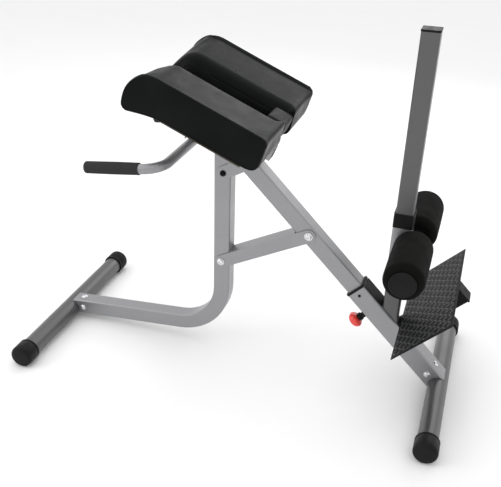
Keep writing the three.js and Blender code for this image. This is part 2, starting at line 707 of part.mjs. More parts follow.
function foamRoller(name, side) {
  const length = ROLLER_Y1 - ROLLER_Y0;
  const r = ROLLER_R;
  const bore = AXLE_R + 0.7;
  const body = lathe([
    [bore, 0], [r - 14, 0], [r - 7, 2], [r - 2, 7], [r, 14], [r, length - 14], [r - 2, length - 7],
    [r - 7, length - 2], [r - 14, length], [bore, length], [bore, 0],
  ], 36);
  const y = side > 0 ? ROLLER_Y0 : -ROLLER_Y1;
  add(name, alongY(body, AXLE_X, y, AXLE_Z), FOAM);
}

function carriagePin() {
  const base = vec(POST_X, SLEEVE_W / 2 + GAP, CARRIAGE_PIN_Z);
  add("carriage_pin_barrel", place(barrel(20), Z, X, Y, base), BLACK_STEEL);
  const knob = pinAndKnob(3.1, 22, 20);
  add("carriage_pin_knob", place(knob, Z, X, Y, base), RED);
}

// --- assembly --------------------------------------------------------------

stabilizer("front_stabilizer", FRONT_X);
endCap("front_cap_near", FRONT_X, -1);
endCap("front_cap_far", FRONT_X, 1);
jFrame();
topBracket();
brace();
frameBolts();
saddleScrews();
boomInner();
padSpine();
padCrossbar("pad_crossbar_front", BAR_FRONT);
padCrossbar("pad_crossbar_rear", BAR_REAR);
padBoard("pad_board_near", -1);
padBoard("pad_board_far", 1);
padBolts();
pad("pad_near", -1);
pad("pad_far", 1);
spineEndCover();
handleBar();
handleStrut();
handleGrip("grip_near", -1);
handleGrip("grip_far", 1);
stabilizer("rear_stabilizer", REAR_X);
endCap("rear_cap_near", REAR_X, -1);
endCap("rear_cap_far", REAR_X, 1);
boomOuter();
boomBushing();
boomGuard();
boomPin();
post();
postPlug();
footPlate();
plateSupport();
carriageSleeve();
rollerAxle();
axleStrap();
axleEndCap("axle_cap_near", -1);
axleEndCap("axle_cap_far", 1);
thrustWashers();
foamRoller("roller_near", -1);
foamRoller("roller_far", 1);
carriagePin();

export default chair;
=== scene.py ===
"""Looks of the roman chair: upholstered pads, foam rollers and grips, fasteners, tread and materials."""

import json
import math

import bpy
from mathutils import Matrix, Vector


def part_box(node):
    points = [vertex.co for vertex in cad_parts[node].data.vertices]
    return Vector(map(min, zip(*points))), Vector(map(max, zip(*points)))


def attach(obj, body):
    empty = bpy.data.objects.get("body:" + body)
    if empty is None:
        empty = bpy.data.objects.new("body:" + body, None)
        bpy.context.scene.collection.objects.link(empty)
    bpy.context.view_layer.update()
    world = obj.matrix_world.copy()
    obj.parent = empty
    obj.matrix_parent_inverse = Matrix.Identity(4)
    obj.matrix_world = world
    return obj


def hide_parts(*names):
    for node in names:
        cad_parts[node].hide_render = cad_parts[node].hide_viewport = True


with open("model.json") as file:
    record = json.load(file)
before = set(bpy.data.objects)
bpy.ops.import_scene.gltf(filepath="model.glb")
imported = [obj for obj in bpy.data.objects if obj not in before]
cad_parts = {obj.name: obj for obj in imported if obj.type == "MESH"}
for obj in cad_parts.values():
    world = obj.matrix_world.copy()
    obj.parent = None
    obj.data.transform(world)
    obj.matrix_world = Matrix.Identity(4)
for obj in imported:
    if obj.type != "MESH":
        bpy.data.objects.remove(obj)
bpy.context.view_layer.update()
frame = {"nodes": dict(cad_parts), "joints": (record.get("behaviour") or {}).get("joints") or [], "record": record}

NODES = frame["nodes"]
RECORD = frame["record"]
JOINTS = {j["name"]: j for j in frame["joints"]}
MOUNTS = {m["name"]: m for m in RECORD["mounts"]}
SLOT_OF = {s["node"]: s["material_slot"] for s in RECORD["subparts"]}

X = Vector((1, 0, 0))
Y = Vector((0, 1, 0))
Z = Vector((0, 0, 1))
MM = 0.001
NEAR, FAR = -1, 1

# The pads' own frame: u down the slope to the rear, v square to the deck, 0 on the board.
DECK = MOUNTS["pad_deck_near"]
DECK_HEIGHT = 96 * MM
PAD_V = Vector(DECK["axis"]).normalized()
PAD_U = Vector((PAD_V.z, 0, -PAD_V.x))
PAD_ORIGIN = Vector((DECK["pos_m"][0], 0, DECK["pos_m"][2])) - PAD_V * DECK_HEIGHT

# The boom's own frame: along it to the front, and square to it upwards.
BOOM_DIR = Vector(JOINTS["boom_slide"]["axis"]).normalized()
BOOM_UP = Vector((BOOM_DIR.z, 0, -BOOM_DIR.x))


# --- mesh helpers -----------------------------------------------------------

def center_of(node):
    low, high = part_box(node)
    return (low + high) / 2


SHARP_ANGLE = math.radians(35)


def smooth_by_angle():
    """A node group that shades a mesh smooth and keeps the edges over SHARP_ANGLE sharp."""
    group = bpy.data.node_groups.new("smooth_by_angle", "GeometryNodeTree")
    group.interface.new_socket("Geometry", in_out="INPUT", socket_type="NodeSocketGeometry")
    group.interface.new_socket("Geometry", in_out="OUTPUT", socket_type="NodeSocketGeometry")
    nodes, links = group.nodes, group.links
    start = nodes.new("NodeGroupInput")
    end = nodes.new("NodeGroupOutput")
    faces = nodes.new("GeometryNodeSetShadeSmooth")
    faces.domain = "FACE"
    edges = nodes.new("GeometryNodeSetShadeSmooth")
    edges.domain = "EDGE"
    edges.inputs["Shade Smooth"].default_value = False
    angle = nodes.new("GeometryNodeInputMeshEdgeAngle")
    sharp = nodes.new("FunctionNodeCompare")
    sharp.operation = "GREATER_THAN"
    sharp.inputs[1].default_value = SHARP_ANGLE
    links.new(start.outputs[0], faces.inputs["Geometry"])
    links.new(faces.outputs[0], edges.inputs["Geometry"])
    links.new(angle.outputs["Unsigned Angle"], sharp.inputs[0])
    links.new(sharp.outputs[0], edges.inputs["Selection"])
    links.new(edges.outputs[0], end.inputs[0])
    return group


SMOOTH = smooth_by_angle()


def shade(obj):
    modifier = obj.modifiers.new("smooth", "NODES")
    modifier.node_group = SMOOTH
    return obj


def bevel(obj, width, segments=2, angle=30):
    modifier = obj.modifiers.new("bevel", "BEVEL")
    modifier.width = width
    modifier.segments = segments
    modifier.limit_method = "ANGLE"
    modifier.angle_limit = math.radians(angle)
    return obj


def subdivide(obj, levels):
    modifier = obj.modifiers.new("subdivision", "SUBSURF")
    modifier.levels = levels
    modifier.render_levels = levels
    return obj


def make(name, points, faces):
    mesh = bpy.data.meshes.new(name)
    mesh.from_pydata([tuple(p) for p in points], [], faces)
    mesh.update()
    obj = bpy.data.objects.new(name, mesh)
    bpy.context.scene.collection.objects.link(obj)
    return obj


class Builder:
    """Collects several closed shapes into one mesh."""

    def __init__(self):
        self.points = []
        self.faces = []

    def add(self, points, faces):
        start = len(self.points)
        self.points += list(points)
        self.faces += [[start + i for i in face] for face in faces]

    def lathe(self, profile, origin, axis, steps=48, radius_at=None):
        """Turns (radius, height) pairs about axis.

        The profile starts and ends on the axis, or closes on itself.
        """
        axis = Vector(axis).normalized()
        side = axis.cross(Y if abs(axis.y) < 0.9 else X).normalized()
        other = axis.cross(side)
        points, rows = [], []
        for radius, height in profile:
            if radius < 1e-7:
                rows.append([len(points)] * steps)
                points.append(origin + axis * height)
                continue
            rows.append(list(range(len(points), len(points) + steps)))
            for k in range(steps):
                a = 2 * math.pi * k / steps
                r = radius * (radius_at(a, radius, height) if radius_at else 1)
                point = origin + axis * height + side * (r * math.cos(a))
                points.append(point + other * (r * math.sin(a)))
        closed = profile[0][0] > 1e-7
        pairs = list(zip(rows, rows[1:] + rows[:1])) if closed else list(zip(rows, rows[1:]))
        faces = []
        for low, high in pairs:
            for k in range(steps):
                n = (k + 1) % steps
                corners = [low[k], low[n], high[n], high[k]]
                faces.append(list(dict.fromkeys(corners)))
        self.add(points, [f for f in faces if len(f) > 2])
        return self

    def prism(self, outline, origin, across, up, axis, height):
        """Extrudes an outline of (a, b) pairs, which runs anticlockwise seen from the axis's tip."""
        count = len(outline)
        base = [origin + across * a + up * b for a, b in outline]
        points = base + [p + axis * height for p in base]
        faces = [list(range(count))[::-1], list(range(count, 2 * count))]
        faces += [[k, (k + 1) % count, count + (k + 1) % count, count + k] for k in range(count)]
        self.add(points, faces)
        return self

    def tube(self, path, radius, closed=False, steps=10):
        """A round bead along a path of points."""
        count = len(path)
        rings = []
        normal = None
        for i, point in enumerate(path):
            before = path[i - 1] if closed or i else path[0]
            after = path[(i + 1) % count] if closed or i < count - 1 else path[-1]
            along = (after - before).normalized()
            if normal is None:
                normal = along.cross(Y if abs(along.y) < 0.9 else X).normalized()
            normal = (normal - along * normal.dot(along)).normalized()
            other = along.cross(normal)
            angles = [2 * math.pi * k / steps for k in range(steps)]
            ring = []
            for a in angles:
                ring.append(point + normal * (radius * math.cos(a)) + other * (radius * math.sin(a)))
            rings.append(ring)
        points = [p for ring in rings for p in ring]
        faces = []
        for i in range(count if closed else count - 1):
            j = (i + 1) % count
            for k in range(steps):
                n = (k + 1) % steps
                faces.append([i * steps + k, i * steps + n, j * steps + n, j * steps + k])
        if not closed:
            faces.append(list(range(steps))[::-1])
            faces.append([(count - 1) * steps + k for k in range(steps)])
        self.add(points, faces)
        return self

    def finish(self, name):
        obj = make(name, self.points, self.faces)
        return shade(obj)


def arc(cr, ch, radius, start, end, steps=5):
    """Points of a rounded corner of a lathe profile: its centre, radius and angles in degrees."""
    angles = [math.radians(start + (end - start) * k / steps) for k in range(steps + 1)]
    return [(cr + radius * math.cos(a), ch + radius * math.sin(a)) for a in angles]


def fit(obj, body, slot, *nodes, look=None):
    """Gives a finished piece its body and its material, chosen by its slot unless a look is handed in, and hides
    the CAD nodes that it stands for.
    """
    obj.data.materials.clear()
    obj.data.materials.append(look or LOOKS[slot])
    if nodes:
        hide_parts(*nodes)
    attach(obj, body)
    return obj


# --- materials --------------------------------------------------------------

class Look:
    """A procedural material in the object's own coordinates, in metres."""

    def __init__(self, name, color, roughness, metallic=0.0):
        self.material = bpy.data.materials.new(name)
        self.material.use_nodes = True
        self.nodes = self.material.node_tree.nodes
        self.links = self.material.node_tree.links
        self.shader = self.nodes["Principled BSDF"]
        self.color = color
        self.shader.inputs["Base Color"].default_value = (*color, 1)
        self.shader.inputs["Roughness"].default_value = roughness
        self.shader.inputs["Metallic"].default_value = metallic
        self.place = self.nodes.new("ShaderNodeTexCoord").outputs["Object"]
        self.normal = None

    def set(self, **values):
        for key, value in values.items():
            self.shader.inputs[key.replace("_", " ")].default_value = value
        return self

    def noise(self, scale, detail=3.0, roughness=0.5, stretch=(1, 1, 1)):
        node = self.nodes.new("ShaderNodeTexNoise")
        node.inputs["Scale"].default_value = scale
        node.inputs["Detail"].default_value = detail
        node.inputs["Roughness"].default_value = roughness
        mapping = self.nodes.new("ShaderNodeMapping")
        mapping.inputs["Scale"].default_value = stretch
        self.links.new(self.place, mapping.inputs["Vector"])
        self.links.new(mapping.outputs["Vector"], node.inputs["Vector"])
        return node.outputs["Fac"]

    def cells(self, scale, feature="DISTANCE_TO_EDGE"):
        node = self.nodes.new("ShaderNodeTexVoronoi")
        node.feature = feature
        node.inputs["Scale"].default_value = scale
        self.links.new(self.place, node.inputs["Vector"])
        return node.outputs["Distance"]

    def spread(self, value, low, high, to_low, to_high):
        node = self.nodes.new("ShaderNodeMapRange")
        for key, number in (("From Min", low), ("From Max", high), ("To Min", to_low), ("To Max", to_high)):
            node.inputs[key].default_value = number
        self.links.new(value, node.inputs["Value"])
        return node.outputs["Result"]

    def tint(self, value, low, high, dark, light):
        """Colours between two multiples of the base colour, by value."""
        ramp = self.nodes.new("ShaderNodeValToRGB")
        ramp.color_ramp.elements[0].position = low
        ramp.color_ramp.elements[1].position = high
        ramp.color_ramp.elements[0].color = (*[c * dark for c in self.color], 1)
        ramp.color_ramp.elements[1].color = (*[c * light for c in self.color], 1)
        self.links.new(value, ramp.inputs["Fac"])
        self.links.new(ramp.outputs["Color"], self.shader.inputs["Base Color"])
        return self

    def rough(self, value, low, high, to_low, to_high):
        self.links.new(self.spread(value, low, high, to_low, to_high), self.shader.inputs["Roughness"])
        return self

    def bump(self, value, height, strength=1.0):
        """Adds relief: height is in metres from value 0 to value 1."""
        node = self.nodes.new("ShaderNodeBump")
        node.inputs["Distance"].default_value = height
        node.inputs["Strength"].default_value = strength
        self.links.new(value, node.inputs["Height"])
        if self.normal is not None:
            self.links.new(self.normal, node.inputs["Normal"])
        self.normal = node.outputs["Normal"]
        self.links.new(self.normal, self.shader.inputs["Normal"])
        return self


def metal_paint(name, color):
    look = Look(name, color, 0.4, 0.72)
    look.tint(look.noise(900, 2), 0.35, 0.68, 0.93, 1.07)
    look.rough(look.noise(14, 4), 0.3, 0.7, 0.33, 0.43)
    look.bump(look.noise(420, 2), 0.00012, 0.35)
    look.bump(look.noise(60, 2), 0.0003, 0.12)
    return look.set(Coat_Weight=0.12, Coat_Roughness=0.22).material


def highlit_tread_steel():
    """The lugs: the plate's own steel, glossier, and a little lighter as a painted highlight on their crests."""
    look = Look("highlit_tread_steel", (0.028, 0.03, 0.029), 0.3, 0.15)
    look.tint(look.noise(60, 4), 0.3, 0.7, 0.7, 1.3)
    look.rough(look.noise(90, 3), 0.3, 0.7, 0.24, 0.4)
    look.bump(look.noise(900, 2), 0.00008, 0.3)
    return look.material


def black_steel():
    look = Look("black_steel", (0.0085, 0.0087, 0.0088), 0.42)
    look.tint(look.noise(30, 4), 0.3, 0.7, 0.8, 1.3)
    look.rough(look.noise(45, 4), 0.3, 0.7, 0.34, 0.5)
    look.bump(look.noise(1400, 2), 0.0001, 0.4)
    return look.set(Specular_IOR_Level=0.08).material


def black_plastic():
    look = Look("black_plastic", (0.007, 0.007, 0.0072), 0.45)
    look.tint(look.noise(25, 3), 0.3, 0.7, 0.85, 1.2)
    look.rough(look.noise(70, 3), 0.3, 0.7, 0.42, 0.56)
    look.bump(look.noise(1900, 2), 0.00008, 0.5)
    return look.set(Specular_IOR_Level=0.14).material


def zinc_fasteners():
    look = Look("zinc_fasteners", (0.82, 0.82, 0.84), 0.22, 1.0)
    look.tint(look.noise(240, 3), 0.3, 0.7, 0.86, 1.05)
    look.rough(look.noise(380, 3), 0.3, 0.7, 0.18, 0.34)
    look.bump(look.noise(1500, 2), 0.00005, 0.35)
    return look.material


def black_vinyl():
    """Smooth upholstery vinyl: a fine pebble grain, soft creases and a low gloss."""
    look = Look("black_vinyl", (0.0068, 0.0073, 0.0072), 0.32)
    look.tint(look.noise(9, 5), 0.3, 0.75, 0.8, 1.35)
    look.rough(look.noise(22, 5), 0.3, 0.7, 0.26, 0.37)
    look.bump(look.cells(850), 0.00016, 0.35)
    look.bump(look.noise(150, 4), 0.0004, 0.18)
    look.bump(look.noise(16, 3), 0.004, 0.1)
    return look.set(Specular_IOR_Level=0.04).material


def foam(name, color, pore):
    """Closed-cell foam: matt, with small pores."""
    look = Look(name, color, 0.85)
    look.tint(look.noise(pore, 4, 0.7), 0.35, 0.7, 0.6, 1.5)
    look.rough(look.noise(35, 3), 0.3, 0.7, 0.78, 0.92)
    look.bump(look.cells(pore * 1.6, "F1"), 0.0004, 0.5)
    look.bump(look.noise(70, 4), 0.0006, 0.2)
    return look.set(Sheen_Weight=0.01, Sheen_Roughness=0.6, Specular_IOR_Level=0.06).material


def plywood():
    look = Look("plywood", (0.06, 0.045, 0.032), 0.8)
    look.tint(look.noise(16, 6, 0.6, (1, 12, 12)), 0.3, 0.7, 0.6, 1.3)
    look.rough(look.noise(80, 3), 0.3, 0.7, 0.7, 0.9)
    look.bump(look.noise(60, 5, 0.6, (1, 14, 14)), 0.0004, 0.5)
    return look.material


def red_knob():
    look = Look("red_knob", (0.88, 0.05, 0.04), 0.22)
    look.tint(look.noise(40, 3), 0.3, 0.7, 0.85, 1.1)
    look.rough(look.noise(120, 3), 0.3, 0.7, 0.16, 0.28)
    look.bump(look.noise(300, 2), 0.00006, 0.2)
    return look.set(Coat_Weight=0.5, Coat_Roughness=0.08).material


LOOKS = {
    "silver_paint": metal_paint("silver_paint", (0.31, 0.31, 0.32)),
    # grey_paint is the silver paint at a darker tone, for the post and the stabilizers: painted shade, a shaded
    # copy of the frame's paint.
    "grey_paint": metal_paint("grey_paint", (0.12, 0.12, 0.122)),
    "black_steel": black_steel(),
    "black_plastic": black_plastic(),
    "zinc_fasteners": zinc_fasteners(),
    "black_vinyl": black_vinyl(),
    "plywood": plywood(),
    "black_foam": foam("black_foam", (0.0046, 0.0043, 0.004), 900),
    "grip_foam": foam("grip_foam", (0.036, 0.036, 0.036), 1200),
    "red_knob": red_knob(),
}


def dress_frame():
    """Every carried-over CAD node gets its slot's material and smooth shading."""
    for name, obj in NODES.items():
        obj.data.materials.clear()
        obj.data.materials.append(LOOKS[SLOT_OF[name]])
        shade(obj)


# --- pads -------------------------------------------------------------------

PAD_INNER = 48 * MM
PAD_OUTER = 235 * MM
CHAIN = 40
SIDE_ROWS = 6
RIM_HEIGHT = 4 * MM
RIM_PLACE = 0.962
RIM_WIDTH = 0.024
INNER_DROP = 8 * MM
OUTER_RISE = 2.5 * MM
EDGE_RADIUS = 6 * MM
TOP_EDGE_RADIUS = 28 * MM
WELT_RADIUS = 1.7 * MM
INNER_STEPS = 5
DECK_SHARES = (0.19, 0.28, 0.37, 0.46, 0.55, 0.64, 0.72, 0.79, 0.85, 0.89)
RIM_SHARES = (0.915, 0.935, 0.952, 0.968, 0.985)
SEAM_LIFT = 1.5 * MM
SEAM_TUCK = 4 * MM
RIM_TUCK = 3 * MM
SIDE_CROWN = 2.2 * MM
SWELL_CAP = 4 * MM
NOSE_FADE = (-10 * MM, 45 * MM)
TAIL_FADE = (150 * MM, 170 * MM)
TUCK_FADE = (0.93, 1.0)


def bezier(points, steps):
    """Points of one Bezier curve of any degree, without its last point."""
    result = []
    for k in range(steps):
        t = k / steps
        level = [Vector(p) for p in points]
        while len(level) > 1:
            level = [a.lerp(b, t) for a, b in zip(level, level[1:])]
        result.append(level[0])
    return result


def resample(points, count):
    """The same line with count equal steps along its length."""
    lengths = [0.0]
    for a, b in zip(points, points[1:]):
        lengths.append(lengths[-1] + (b - a).length)
    result = []
    j = 0
    for k in range(count + 1):
        target = lengths[-1] * k / count
        while j < len(lengths) - 2 and lengths[j + 1] < target:
            j += 1
        t = (target - lengths[j]) / max(lengths[j + 1] - lengths[j], 1e-9)
        result.append(points[j].lerp(points[j + 1], min(max(t, 0), 1)))
    return result


def pad_outline():
    """The cushion's side outline in millimetres, from the nose over the deck to the tail and back below."""
    over = bezier([(-215, -2), (-219, 48), (-190, 96), (-142, 96)], 24)
    over += bezier([(-142, 96), (-40, 95), (152, 96)], 20)
    over += bezier([(152, 96), (170, 96.5), (171, 80)], 6)
    over += [Vector((173.5, 48))]
    under = bezier([(-215, -2), (-213, -22), (-192, -22)], 8)
    under += bezier([(-192, -22), (-165, -14), (-130, -2), (-90, 0.6)], 12)
    under += bezier([(-90, 0.6), (60, 0.6), (140, 1.5)], 16)
    under += bezier([(140, 1.5), (174, 3), (175, 26)], 8)
    under += [Vector((173.5, 48))]
    top = resample(over, CHAIN)
    bottom = resample(under, CHAIN)
    return [p * MM for p in top + bottom[-2:0:-1]]


def smoothstep(low, high, value):
    t = min(max((value - low) / (high - low), 0), 1)
    return t * t * (3 - 2 * t)


def pad_point(u, v, y):
    return PAD_ORIGIN + PAD_U * u + PAD_V * v + Y * y


def pad_mesh(name, side):
    """A closed cushion: rings round its girth from the inner face to the outer, and a grid on each face.

    Returns the object, its outer seam's points and the points of its board side.
    """
    outline = pad_outline()
    count = len(outline)
    normals = []
    for i in range(count):
        along = outline[(i + 1) % count] - outline[i - 1]
        normals.append(Vector((-along.y, along.x)).normalized())
    topness = []
    for i, p in enumerate(outline):
        on_top = 1.0 if i <= CHAIN else 0.0
        nose = smoothstep(*NOSE_FADE, p.y)
        tail = 1 - smoothstep(*TAIL_FADE, p.x)
        topness.append(on_top * nose * tail)
    width = PAD_OUTER - PAD_INNER
    stations = []
    for k in range(INNER_STEPS + 1):
        a = math.radians(90 * k / INNER_STEPS)
        stations.append((0.0, 1 - math.sin(a), 1 - math.cos(a), "inner"))
    stations += [(w, 0, 0, "deck") for w in DECK_SHARES + RIM_SHARES]
    stations += [(1.0, 0, 0, "seam")]
    rings = []
    for w, roll, shift, kind in stations:
        ring = []
        for i, p in enumerate(outline):
            radius = EDGE_RADIUS + (TOP_EDGE_RADIUS - EDGE_RADIUS) * topness[i]
            across = PAD_INNER + (radius * shift if kind == "inner" else width * w)
            share = (across - PAD_INNER) / width
            lift = OUTER_RISE * share - INNER_DROP * (1 - share)
            lift += RIM_HEIGHT * math.exp(-((share - RIM_PLACE) / RIM_WIDTH) ** 2)
            if kind == "seam":
                lift = SEAM_LIFT
            out = lift * topness[i] - radius * roll
            edge = 1 - topness[i]
            if kind == "deck":
                out -= RIM_TUCK * edge * smoothstep(*TUCK_FADE, share)
            if kind == "seam":
                out -= SEAM_TUCK * edge
            q = p + normals[i] * out
            ring.append(pad_point(q.x, q.y, side * across))
        rings.append(ring)
    points = [p for ring in rings for p in ring]
    faces = []
    for r in range(len(rings) - 1):
        for i in range(count):
            n = (i + 1) % count
            faces.append([r * count + i, r * count + n, (r + 1) * count + n, (r + 1) * count + i])

    def side_grid(ring_index, outward):
        base = ring_index * count
        rows = [[base + i for i in range(CHAIN + 1)]]
        lower = [base + (count - i) % count for i in range(CHAIN + 1)]
        lower[CHAIN] = base + CHAIN
        for row in range(1, SIDE_ROWS):
            t = row / SIDE_ROWS
            line = [rows[0][0]]
            for i in range(1, CHAIN):
                a, b = points[rows[0][i]], points[lower[i]]
                span = math.sin(math.pi * t) * math.sin(math.pi * i / CHAIN) ** 0.5
                line.append(len(points))
                points.append(a.lerp(b, t) + Y * (outward * SIDE_CROWN * span))
            line.append(rows[0][CHAIN])
            rows.append(line)
        rows.append(lower)
        for upper_row, lower_row in zip(rows, rows[1:]):
            for i in range(CHAIN):
                corners = [upper_row[i], upper_row[i + 1], lower_row[i + 1], lower_row[i]]
                corners = list(dict.fromkeys(corners))
                faces.append(corners if outward * side < 0 else corners[::-1])

    side_grid(0, -side)
    side_grid(len(rings) - 1, side)
    if side > 0:
        faces[:] = [f[::-1] for f in faces]
    obj = make(name, points, faces)
    seam = [(len(rings) - 1) * count + i for i in range(count)]
    flat = [r * count + i for r in range(len(rings)) for i in range(CHAIN + 1, count)]
    return obj, seam, flat


def inflate(obj, pinned, cap, pressure=4.0, frames=20):
    """Cloth under pressure, with the seams and the board side held, moving no point further than cap."""
    group = obj.vertex_groups.new(name="held")
    group.add(pinned, 1.0, "REPLACE")
    start = [v.co.copy() for v in obj.data.vertices]
    cloth = obj.modifiers.new("cloth", "CLOTH")
    settings = cloth.settings
    settings.quality = 6
    settings.mass = 0.3
    settings.tension_stiffness = 25
    settings.compression_stiffness = 25
    settings.shear_stiffness = 10
    settings.bending_stiffness = 4
    settings.use_pressure = True
    settings.uniform_pressure_force = pressure
    settings.vertex_group_mass = "held"
    settings.effector_weights.gravity = 0
    cloth.point_cache.frame_start = 1
    cloth.point_cache.frame_end = frames
    scene = bpy.context.scene
    for number in range(1, frames + 1):
        scene.frame_set(number)
    graph = bpy.context.evaluated_depsgraph_get()
    result = [v.co.copy() for v in obj.evaluated_get(graph).to_mesh().vertices]
    obj.evaluated_get(graph).to_mesh_clear()
    obj.modifiers.remove(cloth)
    scene.frame_set(1)
    for vertex, old, new in zip(obj.data.vertices, start, result):
        move = new - old
        if move.length > cap:
            move *= cap / move.length
        vertex.co = old + move
    obj.vertex_groups.clear()
    obj.data.update()


def pad(name, side):
    obj, seam, flat = pad_mesh(name + "_cushion", side)
    inflate(obj, sorted(set(seam + flat)), SWELL_CAP)
    path = [obj.data.vertices[i].co.copy() for i in seam]
    subdivide(obj, 2)
    for polygon in obj.data.polygons:
        polygon.use_smooth = True
    fit(obj, "front_frame", "black_vinyl", name)
    welt = Builder().tube(path, WELT_RADIUS, closed=True).finish(name + "_welt")
    fit(welt, "front_frame", "black_vinyl")


# --- foam rollers, grips and their caps --------------------------------------

ROLLER_BORE = 11.7 * MM
ROLLER_DISH = 3 * MM
ROLLER_CORNER = 22 * MM
DISH_RADIUS = 30 * MM
DISH_LIP = 32 * MM
ROLLER_SWELL = 0.4 * MM


def roller(name):
    """A foam roller with round corners, a slight swell and dished ends round its bore."""
    low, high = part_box(name)
    radius = (high.z - low.z) / 2
    length = high.y - low.y
    middle = center_of(name)
    dish = ROLLER_DISH
    corner = ROLLER_CORNER
    profile = [(ROLLER_BORE, dish), (DISH_RADIUS, dish), (DISH_LIP, dish * 0.4)]
    profile += arc(radius - corner, corner, corner, -90, 0, 10)[1:]
    profile += [(radius + ROLLER_SWELL, length * 0.35), (radius + ROLLER_SWELL, length * 0.65)]
    profile += arc(radius - corner, length - corner, corner, 0, 90, 10)[:-1]
    profile += [(DISH_LIP, length - dish * 0.4), (DISH_RADIUS, length - dish), (ROLLER_BORE, length - dish)]
    origin = Vector((middle.x, low.y, middle.z))
    obj = Builder().lathe(profile, origin, Y, 96).finish(name + "_foam")
    fit(obj, name, "black_foam", name)


AXLE_CAP_THICK = 7.6 * MM
AXLE_PLUG_RADIUS = 8 * MM


def axle_cap(name, side):
    """A moulded disc with a rolled rim and a shallow dome, on a plug that enters the axle's tube."""
    low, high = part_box(name)
    middle = center_of(name)
    face = side * max(abs(low.y), abs(high.y))
    radius = (high.z - low.z) / 2
    thick = AXLE_CAP_THICK
    plug = AXLE_PLUG_RADIUS
    origin = Vector((middle.x, face - side * thick, middle.z))
    profile = [(0, -8 * MM), (plug, -8 * MM), (plug, 0.5 * MM), (radius - 2 * MM, 0.5 * MM)]
    profile += arc(radius - 2 * MM, 2.5 * MM, 2 * MM, -90, 60, 6)[1:]
    profile += [(radius - 3.6 * MM, 4.9 * MM), (radius - 4.6 * MM, 4.3 * MM), (radius - 6 * MM, 4.4 * MM)]
    profile += [(radius - 12 * MM, 5.6 * MM), (radius - 22 * MM, 6.9 * MM), (6 * MM, thick), (0, thick)]
    obj = Builder().lathe(profile, origin, Y * side, 72).finish(name + "_disc")
    fit(obj, "carriage", "black_plastic", name)


GRIP_TILT = 0.12
GRIP_RADIUS = 16.5 * MM
GRIP_LENGTH = 162 * MM
GRIP_OUT = 225 * MM
GRIP_BORE = 14.4 * MM


def grip(name, side):
    """A foam sleeve pushed over the handle's end: rounded tip, slight swell and a rolled open end."""
    axis = Vector((math.cos(GRIP_TILT), 0, math.sin(GRIP_TILT)))
    radius = GRIP_RADIUS
    length = GRIP_LENGTH
    middle = center_of(name)
    origin = Vector((middle.x, side * GRIP_OUT, middle.z)) - axis * (length / 2)
    bore = GRIP_BORE
    profile = [(0, 0), (radius - 7 * MM, 0.2 * MM)]
    profile += arc(radius - 5 * MM, 5 * MM, 5 * MM, -80, 0, 6)
    profile += [(radius + 0.3 * MM, length * 0.3), (radius + 0.5 * MM, length * 0.6)]
    profile += [(radius, length - 4 * MM)]
    profile += arc(radius - 1.5 * MM, length - 1.5 * MM, 1.5 * MM, 0, 90, 4)
    profile += [(bore, length), (bore, 4.6 * MM), (0, 4.6 * MM)]
    obj = Builder().lathe(profile, origin, axis, 64).finish(name + "_foam")
    fit(obj, "front_frame", "grip_foam", name)


# The stabilizer's radius with 0.3 mm of clearance.
CAP_BORE = 29.3 * MM


def foot_cap(name, body, side):
    """A moulded cup over a stabilizer's end, with a rolled inner lip, one groove and a shallow dome."""
    low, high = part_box(name)
    middle = center_of(name)
    radius = (high.z - low.z) / 2
    depth = high.y - low.y
    bore = CAP_BORE
    start = low.y if side > 0 else high.y
    origin = Vector((middle.x, start, middle.z))
    floor = depth - 7 * MM
    profile = [(0, floor), (bore, floor), (bore, 0.8 * MM), (bore + 0.8 * MM, 0)]
    profile += arc(radius - 1.6 * MM, 1.6 * MM, 1.6 * MM, -90, 0, 4)
    profile += [(radius, 6 * MM), (radius - 0.7 * MM, 7 * MM)]
    profile += [(radius - 0.7 * MM, 9 * MM), (radius, 10 * MM)]
    profile += [(radius, depth - 12 * MM)]
    profile += arc(radius - 11 * MM, depth - 12 * MM, 11 * MM, 0, 78, 8)[1:]
    profile += [(radius - 14 * MM, depth - 0.7 * MM), (radius - 20 * MM, depth), (0, depth)]
    obj = Builder().lathe(profile, origin, Y * side, 80).finish(name + "_cup")
    fit(obj, body, "black_plastic", name)


# --- fasteners and knobs ------------------------------------------------------

def hexagon(radius):
    return [(radius * math.cos(math.pi * k / 3), radius * math.sin(math.pi * k / 3)) for k in range(6)]


SOCKET_SHARE = 0.42


def button_profile(head, height, washer, thick):
    """A washer and a domed head with a round socket, which socket_shape makes a hexagon."""
    socket = head * SOCKET_SHARE
    profile = [(0, 0), (washer, 0), (washer, thick), (head, thick)]
    for k in range(1, 7):
        a = math.radians(90 * k / 7)
        profile.append((socket + (head - socket) * math.cos(a), thick + height * math.sin(a)))
    profile += [(socket, thick + height), (socket * 0.94, thick + height * 0.35), (0, thick + height * 0.3)]
    return profile


def socket_shape(socket):
    """Turns the socket's round wall into a hexagon."""
    def radius_at(angle, radius, height):
        if radius > socket * 1.01:
            return 1
        turn = (angle % (math.pi / 3)) - math.pi / 6
        return math.cos(math.pi / 6) / math.cos(turn)
    return radius_at


# On a node longer than LONG_SCREW, the washer starts SCREW_FOOT below the node's middle.
LONG_SCREW = 8 * MM
SCREW_FOOT = 3.1 * MM


def screw(name, body, axis, head=8.6, height=4.6, washer=10.5, thick=1.6):
    """A button-head screw with a hexagon socket on its washer."""
    low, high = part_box(name)
    axis = Vector(axis).normalized()
    middle = center_of(name)
    reach = sum(abs(axis[i]) * (high[i] - low[i]) for i in range(3))
    foot = middle - axis * (SCREW_FOOT if reach > LONG_SCREW else reach / 2)
    profile = [(r * MM, h * MM) for r, h in button_profile(head, height, washer, thick)]
    shape = socket_shape(head * SOCKET_SHARE * MM)
    obj = Builder().lathe(profile, foot, axis, 48, shape).finish(name + "_head")
    fit(obj, body, SLOT_OF[name], name)


